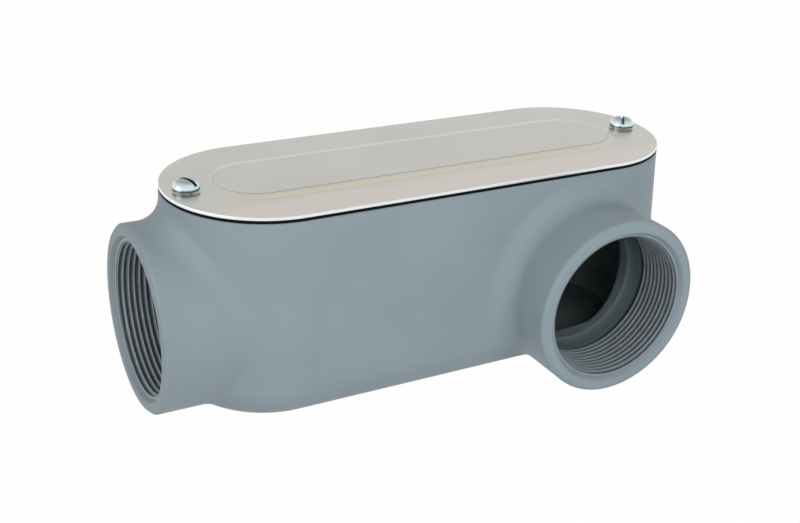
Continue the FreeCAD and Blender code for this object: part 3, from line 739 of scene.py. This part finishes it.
def stamped_cover(cover):
    """The stamped sheet: a pressed skin for its face, the same a thickness lower, and the cut edges."""
    half_length, half_width = COVER_HIGH.x, COVER_HIGH.y
    level = COVER_LOW.z + cover.thickness
    points, values, kept, outline, holes = pressed_skin(cover, half_length, half_width)
    corners, normals, marks = [], [], []
    for drop, side in ((0.0, 1), (cover.thickness, -1)):
        for point, (_, height, normal, drawn, crease_shade) in zip(points, values):
            corners.append((point.x, point.y, level + height - drop))
            normals.append(normal * side)
            marks.append((drawn, crease_shade))
    below = len(points)
    faces = [list(face) for face in kept] + [[below + i for i in reversed(face)] for face in kept]

    def add_strip(first, second):
        """Join two rings of as many points."""
        faces.extend([first[i], second[i], second[i + 1 - len(first)], first[i + 1 - len(first)]]
                     for i in range(len(first)))

    def add_edge_ring(inset, height, tilt):
        """A ring round the cut edge, whose normals look up by the tilt."""
        ring = []
        for i, (_, out) in zip(outline, obround(half_length, half_width)):
            spot = Vector(corners[i][:2]) + out * (DIE_ROLL - inset)
            ring.append(len(corners))
            corners.append((spot.x, spot.y, height))
            normals.append(Vector((out.x * math.cos(tilt), out.y * math.cos(tilt), math.sin(tilt))))
            marks.append((0.0, 0.0))
        return ring

    rim = [outline]
    for degrees in (67, 45, 22, 0):
        tilt = math.radians(degrees)
        inset = DIE_ROLL * (1 - math.cos(tilt))
        rim.append(add_edge_ring(inset, level - DIE_ROLL * (1 - math.sin(tilt)), tilt))
    burr = 0.05 * MM
    rim.append(add_edge_ring(0.0, level - cover.thickness + burr, 0.0))
    rim.append(add_edge_ring(burr, level - cover.thickness, math.radians(-60)))
    rim.append([below + i for i in outline])
    first_cut = len(faces)
    for upper, lower in zip(rim[1:], rim[2:]):
        add_strip(upper, lower)
    last_cut = len(faces)
    add_strip(rim[0], rim[1])
    for hole in holes:
        add_strip([below + i for i in hole], hole)
    mesh = bpy.data.meshes.new("cover_sheet")
    mesh.from_pydata(corners, [], faces)
    for polygon in mesh.polygons[first_cut:last_cut]:
        polygon.material_index = 1
    return mesh_without_loose(mesh, normals, marks)


def signed_area(corners):
    """Twice a face's area, above zero where it runs anticlockwise."""
    return sum(a.x * b.y - a.y * b.x for a, b in zip(corners, corners[1:] + corners[:1]))


def is_outside(point, half_length, half_width):
    """Whether the middle of a face lies past the obround."""
    straight = half_length - half_width
    reach = max(abs(point.x) - straight, 0)
    return math.hypot(reach, point.y) > half_width


def mesh_without_loose(mesh, normals, marks):
    """The mesh without its unused points, with the normal and the marks of each point that is left."""
    lean = mesh.attributes.new("lean", "FLOAT_VECTOR", "POINT")
    lean.data.foreach_set("vector", [c for normal in normals for c in normal])
    for name, column in zip(("drawn", "crease_shade"), zip(*marks)):
        mesh.attributes.new(name, "FLOAT", "POINT").data.foreach_set("value", column)
    shape = bmesh.new()
    shape.from_mesh(mesh)
    loose = [point for point in shape.verts if not point.link_faces]
    bmesh.ops.delete(shape, geom=loose, context="VERTS")
    save_closed(shape, mesh)
    for polygon in mesh.polygons:
        polygon.use_smooth = True
    leans = [tuple(item.vector) for item in mesh.attributes["lean"].data]
    mesh.normals_split_custom_set_from_vertices(leans)
    mesh.attributes.remove(mesh.attributes["lean"])
    return mesh


# ---------------------------------------------------------------- screws

def turned_head(tree, inputs):
    """A round head turned about Z on the plane Z = 0: a short straight rim under a full dome.

    The first and last rows close it. Row 1 is the foot of the rim, and row 2 its top."""
    steps, rows = 72.0, 25.0
    # Against an ellipse, the crown is flatter, and the dome turns in sooner over its rim.
    climb_power, shrink_power = 1.1, 0.9
    mesh, turn, row = flat_grid(tree, steps, rows)
    over_rim = add_node(tree, "ShaderNodeMath", row, 2.0, operation="SUBTRACT")
    share = add_node(tree, "ShaderNodeMath", over_rim, rows - 2, operation="DIVIDE", use_clamp=True)
    swing = add_node(tree, "ShaderNodeMath", share, math.pi / 2, operation="MULTIPLY")
    sine = add_node(tree, "ShaderNodeMath", swing, operation="SINE")
    climb = add_node(tree, "ShaderNodeMath", sine, climb_power, operation="POWER")
    dome = add_node(tree, "ShaderNodeMath", inputs["Head height"], inputs["Rim"], operation="SUBTRACT")
    lift = add_node(tree, "ShaderNodeMath", climb, dome, inputs["Rim"], operation="MULTIPLY_ADD")
    off_foot = add_node(tree, "ShaderNodeMath", row, 1.5, operation="GREATER_THAN")
    height = add_node(tree, "ShaderNodeMath", lift, off_foot, operation="MULTIPLY")
    cosine = add_node(tree, "ShaderNodeMath", swing, operation="COSINE")
    cosine = add_node(tree, "ShaderNodeMath", cosine, operation="ABSOLUTE")
    shrink = add_node(tree, "ShaderNodeMath", cosine, shrink_power, operation="POWER")
    wide = add_node(tree, "ShaderNodeMath", shrink, inputs["Head radius"], operation="MULTIPLY")
    radius = add_node(tree, "ShaderNodeMath", wide, between_ends(tree, row, rows), operation="MULTIPLY")
    return rolled_up(tree, mesh, turn, radius, height)


def between_ends(tree, row, rows):
    """0 on the first and the last row of a grid, which close in a point, and 1 between them."""
    past_first = add_node(tree, "ShaderNodeMath", row, 0.5, operation="GREATER_THAN")
    before_last = add_node(tree, "ShaderNodeMath", row, rows - 0.5, operation="LESS_THAN")
    return add_node(tree, "ShaderNodeMath", past_first, before_last, operation="MULTIPLY")


def threaded_shank(tree, inputs):
    """The shank under the head, with its helical thread, closed at both ends."""
    steps, rows = 48.0, 97.0
    # Depth of the groove as a part of the pitch, and how far the shank starts inside the head.
    groove_depth = 0.55
    sunk_in_head = 0.3 * MM
    mesh, turn, row = flat_grid(tree, steps, rows)
    below_top = add_node(tree, "ShaderNodeMath", row, 1.0, operation="SUBTRACT")
    along = add_node(tree, "ShaderNodeMath", below_top, rows - 2, operation="DIVIDE", use_clamp=True)
    depth = add_node(tree, "ShaderNodeMath", along, inputs["Shank length"], operation="MULTIPLY")
    slope = helix_slope(tree, turn, depth, inputs["Pitch"])
    deepest = add_node(tree, "ShaderNodeMath", inputs["Pitch"], groove_depth, operation="MULTIPLY")
    groove = add_node(tree, "ShaderNodeMath", slope, deepest, operation="MULTIPLY")
    wide = add_node(tree, "ShaderNodeMath", inputs["Shank radius"], groove, operation="SUBTRACT")
    radius = add_node(tree, "ShaderNodeMath", wide, between_ends(tree, row, rows), operation="MULTIPLY")
    height = add_node(tree, "ShaderNodeMath", sunk_in_head, depth, operation="SUBTRACT")
    return add_node(tree, "GeometryNodeFlipFaces", rolled_up(tree, mesh, turn, radius, height))


def slotted_screw(tree, inputs):
    """A slotted round-head machine screw that stands on the plane Z = 0."""
    long = add_node(tree, "ShaderNodeMath", inputs["Head radius"], 2.4, operation="MULTIPLY")
    deep = add_node(tree, "ShaderNodeMath", inputs["Slot depth"], 2.0, operation="MULTIPLY")
    size = add_node(tree, "ShaderNodeCombineXYZ", long, inputs["Slot width"], deep)
    cutter = add_node(tree, "GeometryNodeTransform", add_node(tree, "GeometryNodeMeshCube", size), links={
        "Translation": add_node(tree, "ShaderNodeCombineXYZ", 0.0, 0.0, inputs["Head height"]),
        "Rotation": add_node(tree, "ShaderNodeCombineXYZ", 0.0, 0.0, inputs["Slot angle"])})
    slotted = add_node(tree, "GeometryNodeMeshBoolean", operation="DIFFERENCE", solver="EXACT", links={
        "Mesh 1": turned_head(tree, inputs), "Mesh 2": cutter})
    screw = add_node(tree, "GeometryNodeJoinGeometry", slotted)
    tree.links.new(threaded_shank(tree, inputs).outputs[0], screw.inputs[0])
    return screw


def line_slot(mesh, place, angle, screw, slot_floor, lining):
    """Give the faces of the driver slot their own finish, which is painted shade."""
    slack = 0.01 * MM
    mesh.materials.append(lining)
    across = Vector((-math.sin(angle), math.cos(angle)))
    for polygon in mesh.polygons:
        aside = abs((polygon.center.xy - place.xy).dot(across))
        if aside < screw.slot_width / 2 + slack and polygon.center.z > slot_floor - slack:
            polygon.material_index = len(mesh.materials) - 1


# ---------------------------------------------------------------- operators

class CONDUIT_OT_casting(Operator):
    """Bake the enamel on the casting"""
    bl_idname = "conduit.casting"
    bl_label = "Enamel the casting"

    def execute(self, context):
        casting = context.scene.conduit_body.casting
        enamel = finish("Grey-blue baked enamel", enamel_on_casting, casting)
        frame["nodes"]["body_casting"].material_slots[0].material = enamel
        return {"FINISHED"}


class CONDUIT_OT_threads(Operator):
    """Cut the tapered pipe thread in both hubs"""
    bl_idname = "conduit.threads"
    bl_label = "Thread the hubs"

    def execute(self, context):
        thread = context.scene.conduit_body.thread
        casting = context.scene.conduit_body.casting
        into_metal = 0.4 * MM
        # Two copies of the thread enamel, painted lighter for the end hub and darker for the side hub.
        for name, tone in (("end_hub", casting.end_thread), ("side_hub", casting.side_thread)):
            label = "Enamel in the %s thread" % name.replace("_", " ")
            enamel = finish(label, cut_thread_enamel, tone, casting.grain)
            mount = MOUNTS[name]
            radius = mount["dims"]["r_mm"] * MM
            mesh = grow_mesh(name + "_thread", thread_sleeve, {
                "Bore radius": radius, "Wall radius": radius + into_metal, "Pitch": thread.pitch,
                "Ridge": thread.ridge, "Start": thread.start, "Span": thread.span, "Lip": thread.lip,
                "Taper": thread.taper, "Steps round": thread.around, "Steps across": thread.per_turn,
                "Material": enamel})
            mesh.transform(hub_matrix(mount))
            face_outwards(mesh)
            new_piece(name + "_thread", mesh)
        return {"FINISHED"}


class CONDUIT_OT_gasket(Operator):
    """Finish the gasket"""
    bl_idname = "conduit.gasket"
    bl_label = "Finish the gasket"

    def execute(self, context):
        rubber = finish("Black neoprene", neoprene_sheet, context.scene.conduit_body.gasket.rubber)
        frame["nodes"]["cover_gasket"].material_slots[0].material = rubber
        return {"FINISHED"}


class CONDUIT_OT_cover(Operator):
    """Stamp the cover with its raised panel and screw beads"""
    bl_idname = "conduit.cover"
    bl_label = "Stamp the cover"

    def execute(self, context):
        cover = context.scene.conduit_body.cover
        mesh = stamped_cover(cover)
        mesh.materials.append(finish("Mill-finish aluminium sheet", mill_finish_sheet, cover))
        mesh.materials.append(finish("Sheared aluminium edge", sheared_edge, cover.cut_edge))
        new_piece("cover_sheet", mesh, stands_for="cover_plate")
        return {"FINISHED"}


class CONDUIT_OT_screws(Operator):
    """Drive the two cover screws"""
    bl_idname = "conduit.screws"
    bl_label = "Drive the cover screws"

    def execute(self, context):
        screw = context.scene.conduit_body.screw
        cover = context.scene.conduit_body.cover
        seat = COVER_LOW.z + cover.thickness + cover.bead_rise
        # The heads get bands of painted reflection by height above the seat.
        zinc = finish("Bright zinc plate", zinc_with_painted_reflections, screw, seat, SCREW_HIGH.z)
        # The slot's faces get dark zinc as painted shade.
        pooled = finish("Zinc in the painted shade of the slot", slot_zinc_in_painted_shade, screw.slot)
        for node, angle, side in (("end_cover_screw", screw.end_angle, -1),
                                  ("far_cover_screw", screw.far_angle, 1)):
            mesh = grow_mesh(node + "_zinc", slotted_screw, {
                "Head radius": (SCREW_HIGH.x - SCREW_LOW.x) / 2, "Head height": SCREW_HIGH.z - seat,
                "Rim": screw.rim, "Shank radius": screw.shank / 2, "Shank length": seat - SCREW_LOW.z,
                "Pitch": screw.pitch, "Slot width": screw.slot_width, "Slot depth": screw.slot_depth,
                "Slot angle": angle, "Material": zinc})
            place = Vector((side * SCREW_OFFSET, 0, seat))
            mesh.transform(Matrix.Translation(place))
            face_outwards(mesh)
            line_slot(mesh, place, angle, screw, SCREW_HIGH.z - screw.slot_depth, pooled)
            mesh.shade_smooth()
            mesh.set_sharp_from_angle(angle=math.radians(40))
            new_piece(node + "_zinc", mesh, stands_for=node)
        return {"FINISHED"}


class CONDUIT_OT_studio(Operator):
    """Set up the camera, floor and soft studio light"""
    bl_idname = "conduit.studio"
    bl_label = "Set up the studio"

    def execute(self, context):
        studio = context.scene.conduit_body.studio
        add_camera(context, studio)
        add_floor(context)
        add_room_light(context, studio)
        middle = (CAD_BOX[0] + CAD_BOX[1]) / 2
        over_side_hub = middle + Vector((-0.15, -1.0, 0.5))
        beside_end_hub = middle + Vector((-1.6, -0.1, 0.55))
        key = add_softbox(context, "Key light", studio.key, over_side_hub, middle, 0.8)
        # Seen from behind, the cover would mirror this lamp and burn out.
        key.visible_glossy = False
        add_softbox(context, "Fill light", studio.fill, beside_end_hub, middle, 1.2)
        context.scene.view_settings.view_transform = "Standard"
        return {"FINISHED"}


def add_camera(context, studio):
    """Camera turned about its target, and rolled about its own axis."""
    data = bpy.data.cameras.new("Camera")
    data.lens = studio.lens
    data.sensor_width = 36
    data.clip_start = 0.01
    data.clip_end = 20
    east, north = math.cos(studio.azimuth), math.sin(studio.azimuth)
    far, high = math.cos(studio.elevation), math.sin(studio.elevation)
    back = Vector((north * far, -east * far, high))
    level = Vector((east, north, 0))
    upright = back.cross(level)
    right = level * math.cos(studio.roll) + upright * math.sin(studio.roll)
    up = upright * math.cos(studio.roll) - level * math.sin(studio.roll)
    camera = bpy.data.objects.new("Camera", data)
    place = Vector(studio.target) + back * studio.distance
    camera.matrix_world = Matrix.Translation(place) @ Matrix((right, up, back)).transposed().to_4x4()
    context.scene.collection.objects.link(camera)
    context.scene.camera = camera


def seen_directly(tree):
    """1 where the camera or a reflection looks, and 0 where light only falls on something."""
    path = add_node(tree, "ShaderNodeLightPath")
    through = add_node(tree, "ShaderNodeMath", path.outputs["Is Glossy Ray"],
                       path.outputs["Is Transmission Ray"], operation="MAXIMUM")
    return add_node(tree, "ShaderNodeMath", path.outputs["Is Camera Ray"], through, operation="MAXIMUM")


def white_paper(tree):
    """Matt paper lit so evenly that it looks white, with a trace of the object's shadow."""
    glow = 0.985
    paper = add_node(tree, "ShaderNodeBsdfDiffuse", links={"Color": (0.8, 0.8, 0.8, 1)})
    white = add_node(tree, "ShaderNodeEmission", links={"Color": (1, 1, 1, 1), "Strength": 1.0})
    whiteness = add_node(tree, "ShaderNodeMath", seen_directly(tree), glow, operation="MULTIPLY")
    return add_node(tree, "ShaderNodeMixShader", whiteness, paper, white)


def add_floor(context):
    """Plain white floor just under the object."""
    shape = bmesh.new()
    bmesh.ops.create_grid(shape, x_segments=4, y_segments=4, size=4.0)
    mesh = bpy.data.meshes.new("floor")
    shape.to_mesh(mesh)
    shape.free()
    mesh.transform(Matrix.Translation((0, 0, CAD_BOX[0].z - 0.05 * MM)))
    mesh.materials.append(finish("Matt white paper", white_paper))
    floor = bpy.data.objects.new("floor", mesh)
    context.scene.collection.objects.link(floor)


def add_room_light(context, studio):
    """Even light from all round, seen as white."""
    world = bpy.data.worlds.new("Studio")
    world.use_nodes = True
    tree = world.node_tree
    tree.nodes.clear()
    room = add_node(tree, "ShaderNodeBackground", links={"Color": (1, 1, 1, 1), "Strength": studio.ambient})
    white = add_node(tree, "ShaderNodeBackground", links={"Color": (1, 1, 1, 1), "Strength": 1.0})
    both = add_node(tree, "ShaderNodeMixShader", seen_directly(tree), room, white)
    add_node(tree, "ShaderNodeOutputWorld", both)
    context.scene.world = world


def add_softbox(context, name, power, place, target, size):
    """Large square lamp that faces the object."""
    data = bpy.data.lights.new(name, "AREA")
    data.energy = power
    data.size = size
    lamp = bpy.data.objects.new(name, data)
    lamp.location = place
    lamp.rotation_mode = "QUATERNION"
    lamp.rotation_quaternion = (place - target).to_track_quat("Z", "Y")
    context.scene.collection.objects.link(lamp)
    return lamp


class CONDUIT_PT_panel(Panel):
    """Lists the steps in the order in which they run"""
    bl_idname = "CONDUIT_PT_panel"
    bl_label = "Conduit body"
    bl_space_type = "VIEW_3D"
    bl_region_type = "UI"
    bl_category = "Conduit body"

    def draw(self, context):
        for step in STEPS:
            self.layout.operator(step.bl_idname)
        for part in ("casting", "thread", "cover", "screw", "gasket", "studio"):
            box = self.layout.box()
            box.label(text=part.capitalize())
            settings = getattr(context.scene.conduit_body, part)
            for name in settings.bl_rna.properties.keys():
                if name not in ("rna_type", "name"):
                    box.prop(settings, name)


STEPS = (CONDUIT_OT_casting, CONDUIT_OT_threads, CONDUIT_OT_gasket, CONDUIT_OT_cover,
         CONDUIT_OT_screws, CONDUIT_OT_studio)
GROUPS = (CastingSettings, ThreadSettings, CoverSettings, ScrewSettings, GasketSettings,
          StudioSettings, ConduitBodySettings)
CLASSES = GROUPS + STEPS + (CONDUIT_PT_panel,)


def register():
    for item in CLASSES:
        bpy.utils.register_class(item)
    bpy.types.Scene.conduit_body = PointerProperty(type=ConduitBodySettings)


def unregister():
    del bpy.types.Scene.conduit_body
    for item in reversed(CLASSES):
        bpy.utils.unregister_class(item)


def main():
    register()
    bpy.ops.conduit.casting()
    bpy.ops.conduit.threads()
    bpy.ops.conduit.gasket()
    bpy.ops.conduit.cover()
    bpy.ops.conduit.screws()
    bpy.ops.conduit.studio()


if __name__ == "__main__":
    main()
